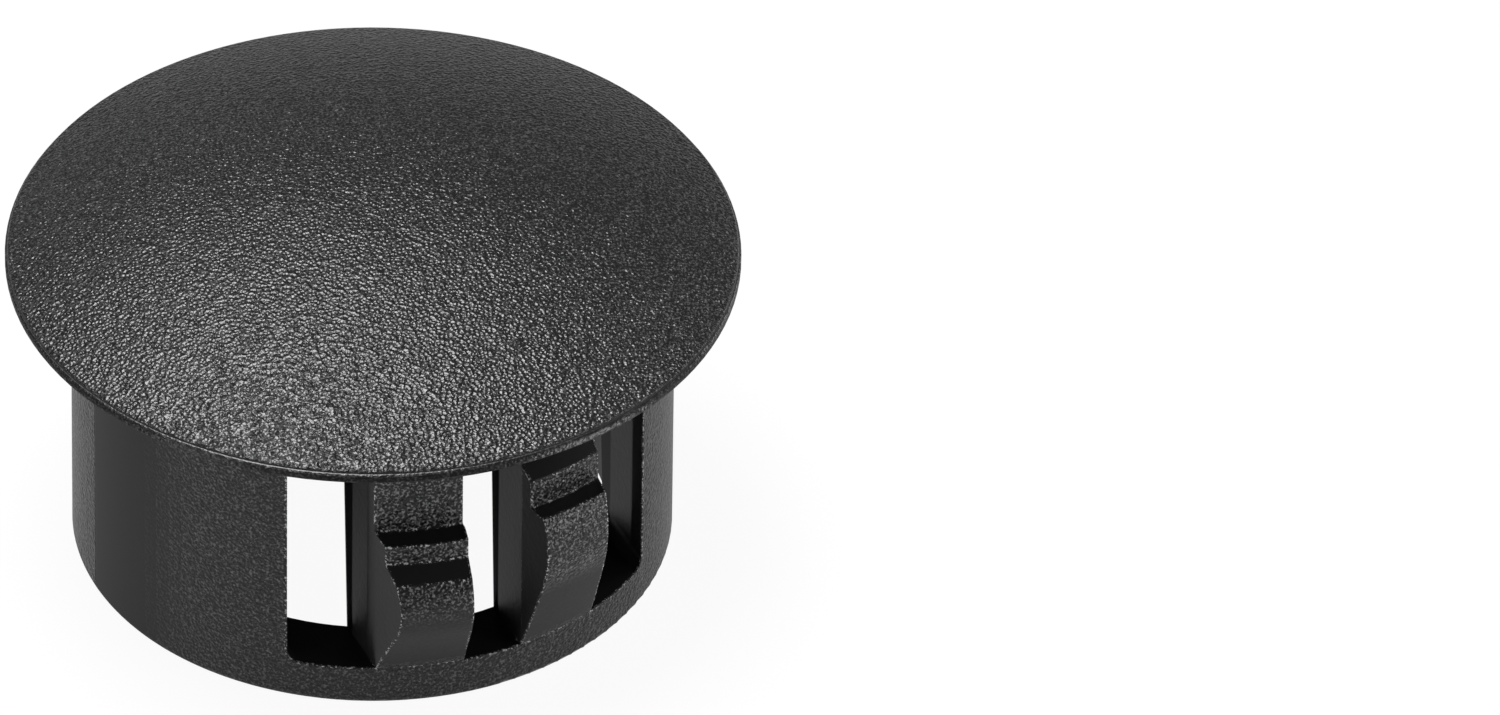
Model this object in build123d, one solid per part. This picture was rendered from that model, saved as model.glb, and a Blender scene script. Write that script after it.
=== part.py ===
from build123d import *
import math
import os

# A snap-in hole plug, moulded in one piece, in millimetres. It stands on the open end of its
# collar with the domed head up. The origin is the middle of that open end, and Z is the axis.
# Both windows look along Y, which is also the way the mould's side slides pull out. Depths are
# measured down from the head's underside, which is the face that seats on the panel.

# Head
head_diameter = 30.0
head_edge_height = 0.42
head_edge_break = 0.15
dome_height = 2.9

# Collar
collar_diameter = 24.64
collar_depth = 13.48
collar_foot_round = 0.25
bore_mouth_diameter = 19.4
bore_floor_diameter = 18.4
mouth_diameter = 21.3
mouth_step_depth = 0.05
mouth_chamfer_depth = 0.1

# Ring at the collar's open end, which joins the wall and the fingers
end_ring_height = 1.83

# Underside of the head, inside the collar
floor_thickening = 0.53
pocket_diameter = 17.8
pocket_edge_depth = 0.15

# Windows
window_width = 15.75
window_corner_radius = 0.5

# Snap fingers: two in each window, with a gap between them
finger_width = 3.5
finger_gap = 2.5
finger_bulge = 1.88
finger_gap_lean = 0.4
finger_outer_lean = 0.15
finger_tip_clearance = 2.05
brow_inset = 0.33
middle_step_bulge = 0.7
tip_step_inset = 0.2

# Each finger is widest at one depth. Above that its face turns in again to a brow. It steps in at
# its shoulder, and again at a second step below its tip, and each step drops by the height given
# on its way out.
short_finger = {"widest": 6.9, "shoulder": 5.75, "shoulder_drop": 0.5, "second": 4.75, "second_drop": 0.12}
long_finger = {"widest": 5.4, "shoulder": 4.15, "shoulder_drop": 0.02, "second": 2.25, "second_drop": 0.6}

head_radius = head_diameter / 2
collar_radius = collar_diameter / 2
pocket_radius = pocket_diameter / 2
edge_top = collar_depth + head_edge_height
crown_height = edge_top + dome_height
floor_level = collar_depth - floor_thickening
dome_radius = (head_radius**2 + dome_height**2) / (2 * dome_height)
dome_centre = crown_height - dome_radius
widest_radius = collar_radius + finger_bulge
brow_radius = widest_radius - brow_inset
middle_radius = collar_radius + middle_step_bulge
tip_radius = collar_radius - tip_step_inset


def bore_radius(height):
    """The bore narrows evenly from the mouth to the floor, so that its core draws out."""
    draft = (bore_mouth_diameter - bore_floor_diameter) / 2 / floor_level
    return bore_mouth_diameter / 2 - draft * height


def core():
    """The space inside the collar, drafted up to the floor and straight past it."""
    top_radius = bore_radius(floor_level)
    drafted = Cone(bore_radius(0), top_radius, floor_level)
    straight = Cylinder(top_radius, floor_thickening)
    return Pos(0, 0, floor_level / 2) * drafted + Pos(0, 0, floor_level + floor_thickening / 2) * straight


def turned(section):
    """Turns a section, drawn as radius and height, about the plug's axis."""
    return revolve(Plane.XZ * section, Axis.Z, 360)


def dome_ball(radius):
    """A ball about the dome's centre, laid on its side so that no pole falls on the head."""
    return Pos(0, 0, dome_centre) * Rot(90, 0, 0) * Sphere(radius)


def collar_and_head():
    """The round body without its windows: the domed head, the collar's wall and the open mouth."""
    mouth_radius = mouth_diameter / 2
    bore_start = mouth_step_depth + mouth_chamfer_depth
    with BuildSketch() as section:
        with BuildLine():
            Polyline(
                (0, crown_height),
                (head_radius, crown_height),
                (head_radius, collar_depth),
                (collar_radius, collar_depth),
                (collar_radius, 0),
                (mouth_radius, 0),
                (mouth_radius, mouth_step_depth),
                (bore_radius(bore_start), bore_start),
                (bore_radius(floor_level), floor_level),
                (0, floor_level),
                (0, crown_height),
            )
        make_face()
        fillet(section.vertices().sort_by_distance((collar_radius, 0))[0], collar_foot_round)
    body = turned(section.sketch) & dome_ball(dome_radius)
    rim = body.edges().filter_by(GeomType.CIRCLE).sort_by_distance((head_radius, 0, edge_top))[0]
    return chamfer(rim, head_edge_break)


def head_pocket():
    """The shallow pocket under the head. Its roof is dished to follow the dome."""
    pocket_edge = floor_level + pocket_edge_depth
    roof = dome_ball(math.hypot(pocket_radius, pocket_edge - dome_centre))
    height = crown_height - floor_level
    return Pos(0, 0, floor_level + height / 2) * Cylinder(pocket_radius, height) & roof


def windows():
    """What the two side slides leave open in the collar's wall, above the end ring."""
    height = collar_depth - end_ring_height
    through = 2 * widest_radius
    opening = Pos(0, 0, end_ring_height + height / 2) * Box(window_width, through, height)
    lower = opening.edges().filter_by(Axis.Y).group_by(Axis.Z)[0]
    return fillet(lower, window_corner_radius) - core()


def finger_section(steps):
    """A finger cut through the plug's axis: the bulge, the shoulder, the second step and the tip."""
    widest = collar_depth - steps["widest"]
    shoulder = collar_depth - steps["shoulder"]
    brow = shoulder - steps["shoulder_drop"]
    second = collar_depth - steps["second"]
    tip = collar_depth - finger_tip_clearance
    half_out = collar_radius + finger_bulge / 2
    half_out_height = end_ring_height + 0.36 * (widest - end_ring_height)
    with BuildSketch() as section:
        with BuildLine():
            Spline(
                (collar_radius, end_ring_height),
                (half_out, half_out_height),
                (widest_radius, widest),
                (brow_radius, brow),
                tangents=((0.55, 1), (-0.6, 1)),
            )
            Polyline(
                (brow_radius, brow),
                (middle_radius, shoulder),
                (middle_radius, second - steps["second_drop"]),
                (tip_radius, second),
                (tip_radius, tip),
                (0, tip),
                (0, end_ring_height),
                (collar_radius, end_ring_height),
            )
        make_face()
    return section.sketch


def finger_outline():
    """A finger seen from above, for -Y. Past the collar both of its sides lean in."""
    near = finger_gap / 2
    far = near + finger_width
    far_reach = math.sqrt(collar_radius**2 - far**2)
    run = 2 * finger_bulge
    with BuildSketch() as outline:
        with BuildLine():
            Polyline(
                (near, 0),
                (near, -collar_radius),
                (near + 2 * finger_gap_lean, -collar_radius - run),
                (far - 2 * finger_outer_lean, -far_reach - run),
                (far, -far_reach),
                (far, 0),
                (near, 0),
            )
        make_face()
    return outline.sketch


def finger(steps):
    """One finger of the window towards -Y, on the side of +X."""
    blank = extrude(finger_outline(), collar_depth)
    return (blank & turned(finger_section(steps))) - core()


def hole_plug():
    """The whole moulding. The second window is the first one given half a turn about the axis."""
    moulding = collar_and_head() - windows() - head_pocket()
    pair = finger(long_finger) + mirror(finger(short_finger), Plane.YZ)
    return (moulding + pair + Rot(0, 0, 180) * pair).clean()


os.makedirs("parts", exist_ok=True)
plug = hole_plug()
plug.label = "hole_plug"
export_step(plug, "parts/hole_plug.step")
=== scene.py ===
import bpy
import bmesh
import math
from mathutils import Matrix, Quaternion, Vector

# A black nylon hole plug standing on the open end of its collar, on a white table.

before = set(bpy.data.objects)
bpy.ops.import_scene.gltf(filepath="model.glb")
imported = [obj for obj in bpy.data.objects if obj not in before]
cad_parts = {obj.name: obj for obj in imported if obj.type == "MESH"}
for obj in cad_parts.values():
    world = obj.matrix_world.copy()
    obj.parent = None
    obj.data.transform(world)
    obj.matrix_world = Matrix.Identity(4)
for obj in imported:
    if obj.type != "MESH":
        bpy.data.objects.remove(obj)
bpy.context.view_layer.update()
PLUG = "hole_plug"

# Camera: the photograph's viewing angle, in degrees and metres.
VIEW_AZIMUTH = -23.5
VIEW_ELEVATION = 37.81
VIEW_ROLL = -0.2
CAMERA_DISTANCE = 0.975
CAMERA_LENS = 572.0
SENSOR_WIDTH = 36.0
LOOK_AT = Vector((0.0, 0.0, 0.006805))
AIM_RIGHT = 0.01543
AIM_UP = 0.00120

# Places on the plug that the finish follows, in metres.
HEAD_RADIUS = 0.015
HEAD_EDGE = 0.01390
SEAT = 0.01348
COLLAR_RADIUS = 0.01232
SILL = 0.00183
BULGE_GRAIN_TOP = 0.0068
BULGE_GRAIN_END = 0.0050
SLIDE_REACH = 0.0101
SLIDE_EDGE = 0.0115
PARTING_WIDTH = 0.00007

# Sizes of the grain and of the softening of the moulded edges, in metres.
GRAIN_CELL = 0.00016
GRAIN_DEPTH = 0.000048
SIDE_CELL = 0.00025
EDGE_SOFTNESS = 0.00015

# Shares of the grain's depth, and how far the shading leans on the drawn strips and the head's edge.
EDGE_GRAIN = 0.4
SIDE_GRAIN = 0.15
PARTING_HEIGHT = -0.5
STRIP_LEAN = 0.6
EDGE_LEAN = 0.53

# Gloss of the nylon. The strips and the head's edge keep only a share of the roughness.
SMOOTH_ROUGHNESS = 0.5
GRAINED_ROUGHNESS = 0.29
POLISHED_SHARE = 0.6
NYLON_IOR = 1.53

# Colours of the nylon; of its flecks, which paint the glints of its grain and are brighter on the
# collar and the fingers because those are lit less; of the slides' sides, a lighter painted sheen; of
# its parting line; and of the pale painted glints along the sharp edges.
NYLON = (0.004, 0.004, 0.0041, 1)
HEAD_GLINT_FLECKS = (0.06, 0.06, 0.061, 1)
FACE_GLINT_FLECKS = (0.11, 0.11, 0.112, 1)
FINGER_GLINT_FLECKS = (0.16, 0.16, 0.163, 1)
SIDE_SHEEN_COLOUR = (0.016, 0.016, 0.0163, 1)
PARTING_COLOUR = (0.002, 0.002, 0.002, 1)
PARTING_SHARE = 0.8
EDGE_GLINT_COLOUR = (0.7, 0.7, 0.71, 1)

# Table and room. The glow is the share of the table that is plain white.
TABLE_SIZE = 1.5
TABLE_DROP = 0.00001
TABLE_GLOW = 0.94
TABLE_IN_GLOSS = 0.5
ROOM_LIGHT = 0.15


def inputs_of(node, **values):
    """Sets a node's inputs by name, with underscores for spaces."""
    for name, value in values.items():
        node.inputs[name.replace("_", " ")].default_value = value
    return node


class Board:
    """Places and wires nodes in one node tree."""

    def __init__(self, tree):
        self.tree = tree

    def add(self, kind, **settings):
        node = self.tree.nodes.new(kind)
        for name, value in settings.items():
            setattr(node, name, value)
        return node

    def wire(self, source, target):
        self.tree.links.new(source, target)

    def feed(self, value, socket):
        """Gives a socket a number, a colour, or another node's output."""
        if isinstance(value, bpy.types.NodeSocket):
            self.wire(value, socket)
        else:
            socket.default_value = value

    def math(self, operation, a, b=0.0):
        node = self.add("ShaderNodeMath", operation=operation)
        self.feed(a, node.inputs[0])
        self.feed(b, node.inputs[1])
        return node.outputs[0]

    def both(self, *masks):
        """Where all the masks hold."""
        product = masks[0]
        for mask in masks[1:]:
            product = self.math("MULTIPLY", product, mask)
        return product

    def ramp(self, value, low, high, to_low=0.0, to_high=1.0):
        """A smooth change from one value to another as the input goes from low to high."""
        node = self.add("ShaderNodeMapRange", interpolation_type="SMOOTHSTEP")
        self.feed(value, node.inputs["Value"])
        inputs_of(node, From_Min=low, From_Max=high, To_Min=to_low, To_Max=to_high)
        return node.outputs["Result"]

    def mix(self, share, first, second):
        node = self.add("ShaderNodeMix", data_type="RGBA")
        self.feed(share, node.inputs[0])
        self.feed(first, node.inputs[6])
        self.feed(second, node.inputs[7])
        return node.outputs[2]

    def vector(self, operation, a, b=(0.0, 0.0, 0.0)):
        node = self.add("ShaderNodeVectorMath", operation=operation)
        self.feed(a, node.inputs[0])
        self.feed(b, node.inputs[1])
        return node.outputs["Value" if operation == "DOT_PRODUCT" else "Vector"]

    def leaned(self, normal, direction, share):
        """Turns a normal towards a direction."""
        scaled = self.add("ShaderNodeVectorMath", operation="SCALE")
        self.feed(direction, scaled.inputs[0])
        self.feed(share, scaled.inputs["Scale"])
        return self.vector("NORMALIZE", self.vector("ADD", normal, scaled.outputs["Vector"]))

    def noise(self, place, scale):
        node = self.add("ShaderNodeTexNoise")
        self.wire(place, node.inputs["Vector"])
        self.wire(scale, node.inputs["Scale"])
        inputs_of(node, Detail=1.0, Roughness=0.5)
        return node.outputs["Fac"]


def new_group(name, inputs, outputs):
    """A shader node group with named sockets, each given as (name, kind, default)."""
    group = bpy.data.node_groups.new(name, "ShaderNodeTree")
    for label, kind, default in inputs:
        socket = group.interface.new_socket(label, in_out="INPUT", socket_type=kind)
        if default is not None:
            socket.default_value = default
    for label, kind in outputs:
        group.interface.new_socket(label, in_out="OUTPUT", socket_type=kind)
    board = Board(group)
    return group, board, board.add("NodeGroupInput"), board.add("NodeGroupOutput")


def spark_grain_group():
    """The grain that a spark-eroded mould leaves: packed pits of all sizes, and a mask of crests where
    lighter flecks paint the glints of the grain.
    """
    group, board, source, result = new_group(
        "spark grain and glint flecks",
        [("Place", "NodeSocketVector", None), ("Cell", "NodeSocketFloat", 0.0002)],
        [("Height", "NodeSocketFloat"), ("Glint crests", "NodeSocketFloat")],
    )
    scale = board.math("DIVIDE", 1.0, source.outputs["Cell"])
    pits = board.add("ShaderNodeTexVoronoi", feature="F1")
    board.wire(source.outputs["Place"], pits.inputs["Vector"])
    board.wire(scale, pits.inputs["Scale"])
    inputs_of(pits, Randomness=1.0)
    uneven = board.noise(source.outputs["Place"], board.math("MULTIPLY", scale, 0.8))
    height = board.math("ADD", pits.outputs["Distance"], uneven)
    glint_flecks = board.noise(source.outputs["Place"], board.math("MULTIPLY", scale, 1.5))
    board.wire(height, result.inputs["Height"])
    board.wire(board.ramp(glint_flecks, 0.48, 0.75), result.inputs["Glint crests"])
    return group


class PlugPlaces:
    """Masks for where a point lies on the plug, from its place and from where its face looks."""

    def __init__(self, board, place):
        self.board = board
        self.both = board.both
        split = board.add("ShaderNodeSeparateXYZ")
        board.wire(place, split.inputs[0])
        self.x = board.math("ABSOLUTE", split.outputs["X"])
        self.y = board.math("ABSOLUTE", split.outputs["Y"])
        self.z = split.outputs["Z"]
        self.quarter = board.math("MULTIPLY", split.outputs["X"], split.outputs["Y"])
        x_squared = board.math("MULTIPLY", self.x, self.x)
        y_squared = board.math("MULTIPLY", self.y, self.y)
        self.radius = board.math("SQRT", board.math("ADD", x_squared, y_squared))
        self.outward = board.vector("NORMALIZE", board.vector("MULTIPLY", place, (1.0, 1.0, 0.0)))
        surface = board.add("ShaderNodeNewGeometry")
        self.normal = surface.outputs["Normal"]
        facing = board.add("ShaderNodeSeparateXYZ")
        board.wire(surface.outputs["True Normal"], facing.inputs[0])
        self.facing_x = board.math("ABSOLUTE", facing.outputs["X"])
        self.facing_y = board.math("ABSOLUTE", facing.outputs["Y"])
        self.facing_up = facing.outputs["Z"]

    def dome(self):
        """The head's domed face, down to its upright edge."""
        return self.both(
            self.board.ramp(self.z, HEAD_EDGE - 0.00004, HEAD_EDGE + 0.00002),
            self.board.ramp(self.facing_up, 0.1, 0.3),
        )

    def head_edge(self):
        """The narrow upright edge all round the head."""
        return self.both(
            self.board.ramp(self.radius, HEAD_RADIUS - 0.0003, HEAD_RADIUS - 0.0002),
            self.board.ramp(self.z, HEAD_EDGE - 0.00002, HEAD_EDGE - 0.00008),
        )

    def upright_sides(self):
        """The windows' jambs and the fingers' flanks."""
        return self.both(
            self.board.ramp(self.facing_x, 0.85, 0.93),
            self.board.ramp(self.x, 0.0085, 0.008),
            self.board.ramp(self.z, SILL - 0.0001, SILL + 0.0001),
        )

    def slide_side(self, sides):
        """The part of those sides that the slides form, bumped with their fine texture and coloured
        lighter as a painted sheen.
        """
        return self.both(
            sides,
            self.board.ramp(self.radius, SLIDE_REACH - 0.00008, SLIDE_REACH + 0.00008),
        )

    def drawn_strips(self, sides):
        """Strips along both borders of those sides, which stand for a little draft."""
        inner = self.board.ramp(self.radius, SLIDE_REACH + 0.00008, SLIDE_REACH - 0.00008)
        outer = self.both(
            self.board.ramp(self.radius, SLIDE_EDGE - 0.0001, SLIDE_EDGE + 0.0001),
            self.board.ramp(self.x, 0.0030, 0.0034),
        )
        return self.both(sides, self.board.math("MAXIMUM", inner, outer))

    def slide_face(self):
        """The collar and the fingers' outer faces.

        The grain dies away towards the parting line on two of the four quarters, and down the
        fingers' bulges. The steps' slopes have none.
        """
        beyond_windows = self.board.ramp(self.x, 0.0080, 0.0086)
        kept = self.board.math(
            "MAXIMUM",
            self.board.ramp(self.facing_y, 0.24, 0.6),
            self.both(self.board.ramp(self.quarter, 0.0, -0.0000002), beyond_windows),
        )
        on_bulge = self.board.ramp(self.radius, COLLAR_RADIUS + 0.00005, COLLAR_RADIUS + 0.0003)
        low = self.board.ramp(self.z, BULGE_GRAIN_TOP, BULGE_GRAIN_END)
        smooth = self.both(on_bulge, low, 0.9)
        return self.both(
            self.board.ramp(self.radius, COLLAR_RADIUS - 0.00035, COLLAR_RADIUS - 0.00025),
            self.board.ramp(self.z, SEAT - 0.00001, SEAT - 0.00006),
            self.board.ramp(self.facing_up, 0.7, 0.5),
            kept,
            self.board.math("SUBTRACT", 1.0, smooth),
        )

    def finger_face(self):
        """The upper part of the fingers' faces, where the painted glint flecks are brightest."""
        return self.both(
            self.board.ramp(self.x, 0.0055, 0.0048),
            self.board.ramp(self.z, BULGE_GRAIN_END, BULGE_GRAIN_TOP),
        )

    def outer_edges(self, soft_normal):
        """The sharp outer edges of the windows and the fingers, where pale colour paints the glints the
        edges catch.
        """
        turn = self.board.vector("DOT_PRODUCT", soft_normal, self.normal)
        return self.both(
            self.board.ramp(turn, 0.998, 0.965),
            self.board.ramp(self.radius, COLLAR_RADIUS - 0.0005, COLLAR_RADIUS - 0.0003),
            self.board.ramp(self.z, SILL - 0.0003, SILL - 0.0002),
            self.board.ramp(self.z, SEAT - 0.0006, SEAT - 0.0009),
        )

    def parting_line(self):
        """Where the two side slides meet on the collar, a quarter turn from the windows."""
        return self.both(
            self.board.ramp(self.y, PARTING_WIDTH, PARTING_WIDTH / 2),
            self.board.ramp(self.radius, COLLAR_RADIUS - 0.0004, COLLAR_RADIUS - 0.0002),
            self.board.ramp(self.z, SEAT - 0.00001, SEAT - 0.00006),
        )


def grain_at(board, grain_group, place, cell):
    """The grain with pits of one size."""
    node = board.add("ShaderNodeGroup", node_tree=grain_group)
    board.wire(place, node.inputs["Place"])
    node.inputs["Cell"].default_value = cell
    return node


def nylon_height(board, masks, grain, texture):
    """The grain, the finer texture of the slides' sides, and the parting line."""
    edge = board.math("MULTIPLY", masks["head edge"], EDGE_GRAIN)
    coarse = board.math("MAXIMUM", masks["grained"], edge)
    coarse_height = board.math("MULTIPLY", coarse, grain.outputs["Height"])
    side = board.math("MULTIPLY", masks["side"], SIDE_GRAIN)
    side_height = board.math("MULTIPLY", side, texture.outputs["Height"])
    line_height = board.math("MULTIPLY", masks["parting"], PARTING_HEIGHT)
    return board.math("ADD", board.math("ADD", coarse_height, side_height), line_height)


def nylon_normal(board, outward, masks, soft_normal, height):
    """The softened normal, leaned on the strips and the head's edge, and then bumped."""
    strip_lean = board.math("MULTIPLY", masks["strips"], STRIP_LEAN)
    edge_lean = board.math("MULTIPLY", masks["head edge"], EDGE_LEAN)
    drawn = board.leaned(soft_normal, outward, strip_lean)
    drawn = board.leaned(drawn, (0.0, 0.0, 1.0), edge_lean)
    bump = board.add("ShaderNodeBump")
    inputs_of(bump, Distance=GRAIN_DEPTH, Strength=1.0)
    board.wire(height, bump.inputs["Height"])
    board.wire(drawn, bump.inputs["Normal"])
    return bump.outputs["Normal"]


def nylon_colour(board, masks, glint_flecks):
    """Near black, with lighter flecks in the grain as painted glints, a lighter painted sheen on the
    slides' sides, a dark parting line and pale painted glints along the sharp edges.
    """
    head = board.math("MAXIMUM", masks["dome"], masks["head edge"])
    line = board.math("MULTIPLY", masks["parting"], PARTING_SHARE)
    # Painted glints: pale colour along the sharp outer edges stands for the light they catch.
    edge_glints = board.both(masks["outer edges"], board.ramp(glint_flecks, 0.2, 0.45))
    # Painted glints: lighter flecks in the grain stand for the light its facets catch, brighter where
    # the plug is lit less.
    colour = board.mix(board.both(head, glint_flecks), NYLON, HEAD_GLINT_FLECKS)
    colour = board.mix(board.both(masks["face"], glint_flecks), colour, FACE_GLINT_FLECKS)
    colour = board.mix(board.both(masks["face"], masks["finger face"], glint_flecks), colour, FINGER_GLINT_FLECKS)
    # Painted sheen: the slides' sides are coloured lighter to stand for the light their fine texture
    # scatters.
    colour = board.mix(masks["side"], colour, SIDE_SHEEN_COLOUR)
    colour = board.mix(line, colour, PARTING_COLOUR)
    return board.mix(edge_glints, colour, EDGE_GLINT_COLOUR)


def nylon_roughness(board, masks):
    """Glossier in the grain, and on the strips and the head's edge."""
    roughness = board.ramp(masks["grained"], 0.0, 1.0, SMOOTH_ROUGHNESS, GRAINED_ROUGHNESS)
    polished = board.math("MAXIMUM", masks["strips"], masks["head edge"])
    return board.math("MULTIPLY", roughness, board.ramp(polished, 0.0, 1.0, 1.0, POLISHED_SHARE))


def nylon_masks(board, places, soft_normal):
    dome = places.dome()
    face = places.slide_face()
    sides = places.upright_sides()
    return {
        "dome": dome,
        "face": face,
        "grained": board.math("MAXIMUM", dome, face),
        "finger face": places.finger_face(),
        "side": places.slide_side(sides),
        "strips": places.drawn_strips(sides),
        "head edge": places.head_edge(),
        "outer edges": places.outer_edges(soft_normal),
        "parting": places.parting_line(),
    }


def nylon_material(grain_group):
    """Black nylon as moulded: grained on the dome and the slides' faces, smooth on the core's."""
    material = bpy.data.materials.new("black nylon")
    material.use_nodes = True
    board = Board(material.node_tree)
    shader = material.node_tree.nodes["Principled BSDF"]
    place = board.add("ShaderNodeTexCoord").outputs["Object"]
    places = PlugPlaces(board, place)
    grain = grain_at(board, grain_group, place, GRAIN_CELL)
    texture = grain_at(board, grain_group, place, SIDE_CELL)
    soft_edges = board.add("ShaderNodeBevel", samples=4)
    inputs_of(soft_edges, Radius=EDGE_SOFTNESS)
    soft_normal = soft_edges.outputs["Normal"]
    masks = nylon_masks(board, places, soft_normal)
    height = nylon_height(board, masks, grain, texture)
    normal = nylon_normal(board, places.outward, masks, soft_normal, height)
    board.wire(normal, shader.inputs["Normal"])
    board.wire(nylon_colour(board, masks, grain.outputs["Glint crests"]), shader.inputs["Base Color"])
    board.wire(nylon_roughness(board, masks), shader.inputs["Roughness"])
    shader.inputs["IOR"].default_value = NYLON_IOR
    return material


def table_material():
    """A white table. The camera sees it nearly plain white, and the plug's gloss shows it softer."""
    material = bpy.data.materials.new("white table")
    material.use_nodes = True
    board = Board(material.node_tree)
    nodes = material.node_tree.nodes
    shader = nodes["Principled BSDF"]
    inputs_of(shader, Base_Color=(0.86, 0.86, 0.86, 1), Roughness=0.9)
    glow = board.add("ShaderNodeEmission")
    inputs_of(glow, Color=(1, 1, 1, 1))
    rays = board.add("ShaderNodeLightPath")
    strength = board.ramp(rays.outputs["Is Camera Ray"], 0.0, 1.0, TABLE_IN_GLOSS, 1.0)
    board.wire(strength, glow.inputs["Strength"])
    seen = board.math("MAXIMUM", rays.outputs["Is Camera Ray"], rays.outputs["Is Glossy Ray"])
    share = board.math("MULTIPLY", seen, TABLE_GLOW)
    blend = board.add("ShaderNodeMixShader")
    board.wire(share, blend.inputs[0])
    board.wire(shader.outputs[0], blend.inputs[1])
    board.wire(glow.outputs[0], blend.inputs[2])
    one_sided = board.add("ShaderNodeMixShader")
    board.wire(board.add("ShaderNodeNewGeometry").outputs["Backfacing"], one_sided.inputs[0])
    board.wire(blend.outputs[0], one_sided.inputs[1])
    board.wire(board.add("ShaderNodeBsdfTransparent").outputs[0], one_sided.inputs[2])
    board.wire(one_sided.outputs[0], nodes["Material Output"].inputs["Surface"])
    return material


def table():
    """The table top, far larger than the view. From below it can be seen through."""
    mesh = bpy.data.meshes.new("table")
    shape = bmesh.new()
    bmesh.ops.create_grid(shape, x_segments=1, y_segments=1, size=TABLE_SIZE)
    shape.to_mesh(mesh)
    shape.free()
    top = bpy.data.objects.new("table", mesh)
    top.location.z = -TABLE_DROP
    bpy.context.collection.objects.link(top)
    mesh.materials.append(table_material())


def room():
    """White surroundings, which light the plug softly and show in its gloss."""
    world = bpy.data.worlds.new("studio")
    bpy.context.scene.world = world
    world.use_nodes = True
    board = Board(world.node_tree)
    back = world.node_tree.nodes["Background"]
    rays = board.add("ShaderNodeLightPath")
    strength = board.ramp(rays.outputs["Is Camera Ray"], 0.0, 1.0, ROOM_LIGHT, 1.0)
    board.wire(strength, back.inputs["Strength"])
    back.inputs["Color"].default_value = (1, 1, 1, 1)


def lamp(name, place, target, size, power):
    light = bpy.data.lights.new(name, "AREA")
    light.shape = "RECTANGLE"
    light.size = size[0]
    light.size_y = size[1]
    light.energy = power
    holder = bpy.data.objects.new(name, light)
    holder.location = place
    holder.rotation_euler = (Vector(target) - Vector(place)).to_track_quat("-Z", "Y").to_euler()
    bpy.context.collection.objects.link(holder)


def lamps():
    """A key lamp overhead, a little to the left, and weaker ones behind, in front and at both sides."""
    lamp("key", (-0.05, 0.09, 0.54), (0, 0, 0.01), (0.24, 0.24), 3.6)
    lamp("back", (-0.12, 0.40, 0.40), (0, 0, 0.01), (0.20, 0.20), 0.15)
    lamp("front", (0.42, -0.46, 0.12), (0, 0, 0.01), (0.24, 0.16), 1.1)
    lamp("left", (-0.55, -0.15, 0.14), (0, 0, 0.01), (0.20, 0.20), 0.4)
    lamp("right", (0.50, 0.08, 0.12), (0, 0, 0.01), (0.20, 0.20), 0.5)


def camera():
    """The camera stands on the line of sight through LOOK_AT and is then turned to frame the plug."""
    azimuth = math.radians(VIEW_AZIMUTH)
    elevation = math.radians(VIEW_ELEVATION)
    away = Vector((math.sin(azimuth) * math.cos(elevation),
                   -math.cos(azimuth) * math.cos(elevation),
                   math.sin(elevation)))
    right = Vector((math.cos(azimuth), math.sin(azimuth), 0.0))
    up = away.cross(right)
    place = LOOK_AT + away * CAMERA_DISTANCE
    aim = LOOK_AT + right * AIM_RIGHT + up * AIM_UP
    lens = bpy.data.cameras.new("camera")
    lens.lens = CAMERA_LENS
    lens.sensor_width = SENSOR_WIDTH
    lens.clip_start = 0.01
    lens.clip_end = 10.0
    holder = bpy.data.objects.new("camera", lens)
    holder.location = place
    sight = LOOK_AT - place
    turn = sight.rotation_difference(aim - place)
    roll = Quaternion(sight.normalized(), math.radians(VIEW_ROLL))
    holder.rotation_euler = (turn @ roll @ sight.to_track_quat("-Z", "Y")).to_euler()
    bpy.context.collection.objects.link(holder)
    bpy.context.scene.camera = holder


def dress_plug():
    """The plug keeps the CAD mesh and takes the nylon finish."""
    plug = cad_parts[PLUG]
    material = nylon_material(spark_grain_group())
    for slot in plug.material_slots:
        slot.material = material


camera()
table()
room()
lamps()
dress_plug()
bpy.context.scene.view_settings.view_transform = "Standard"
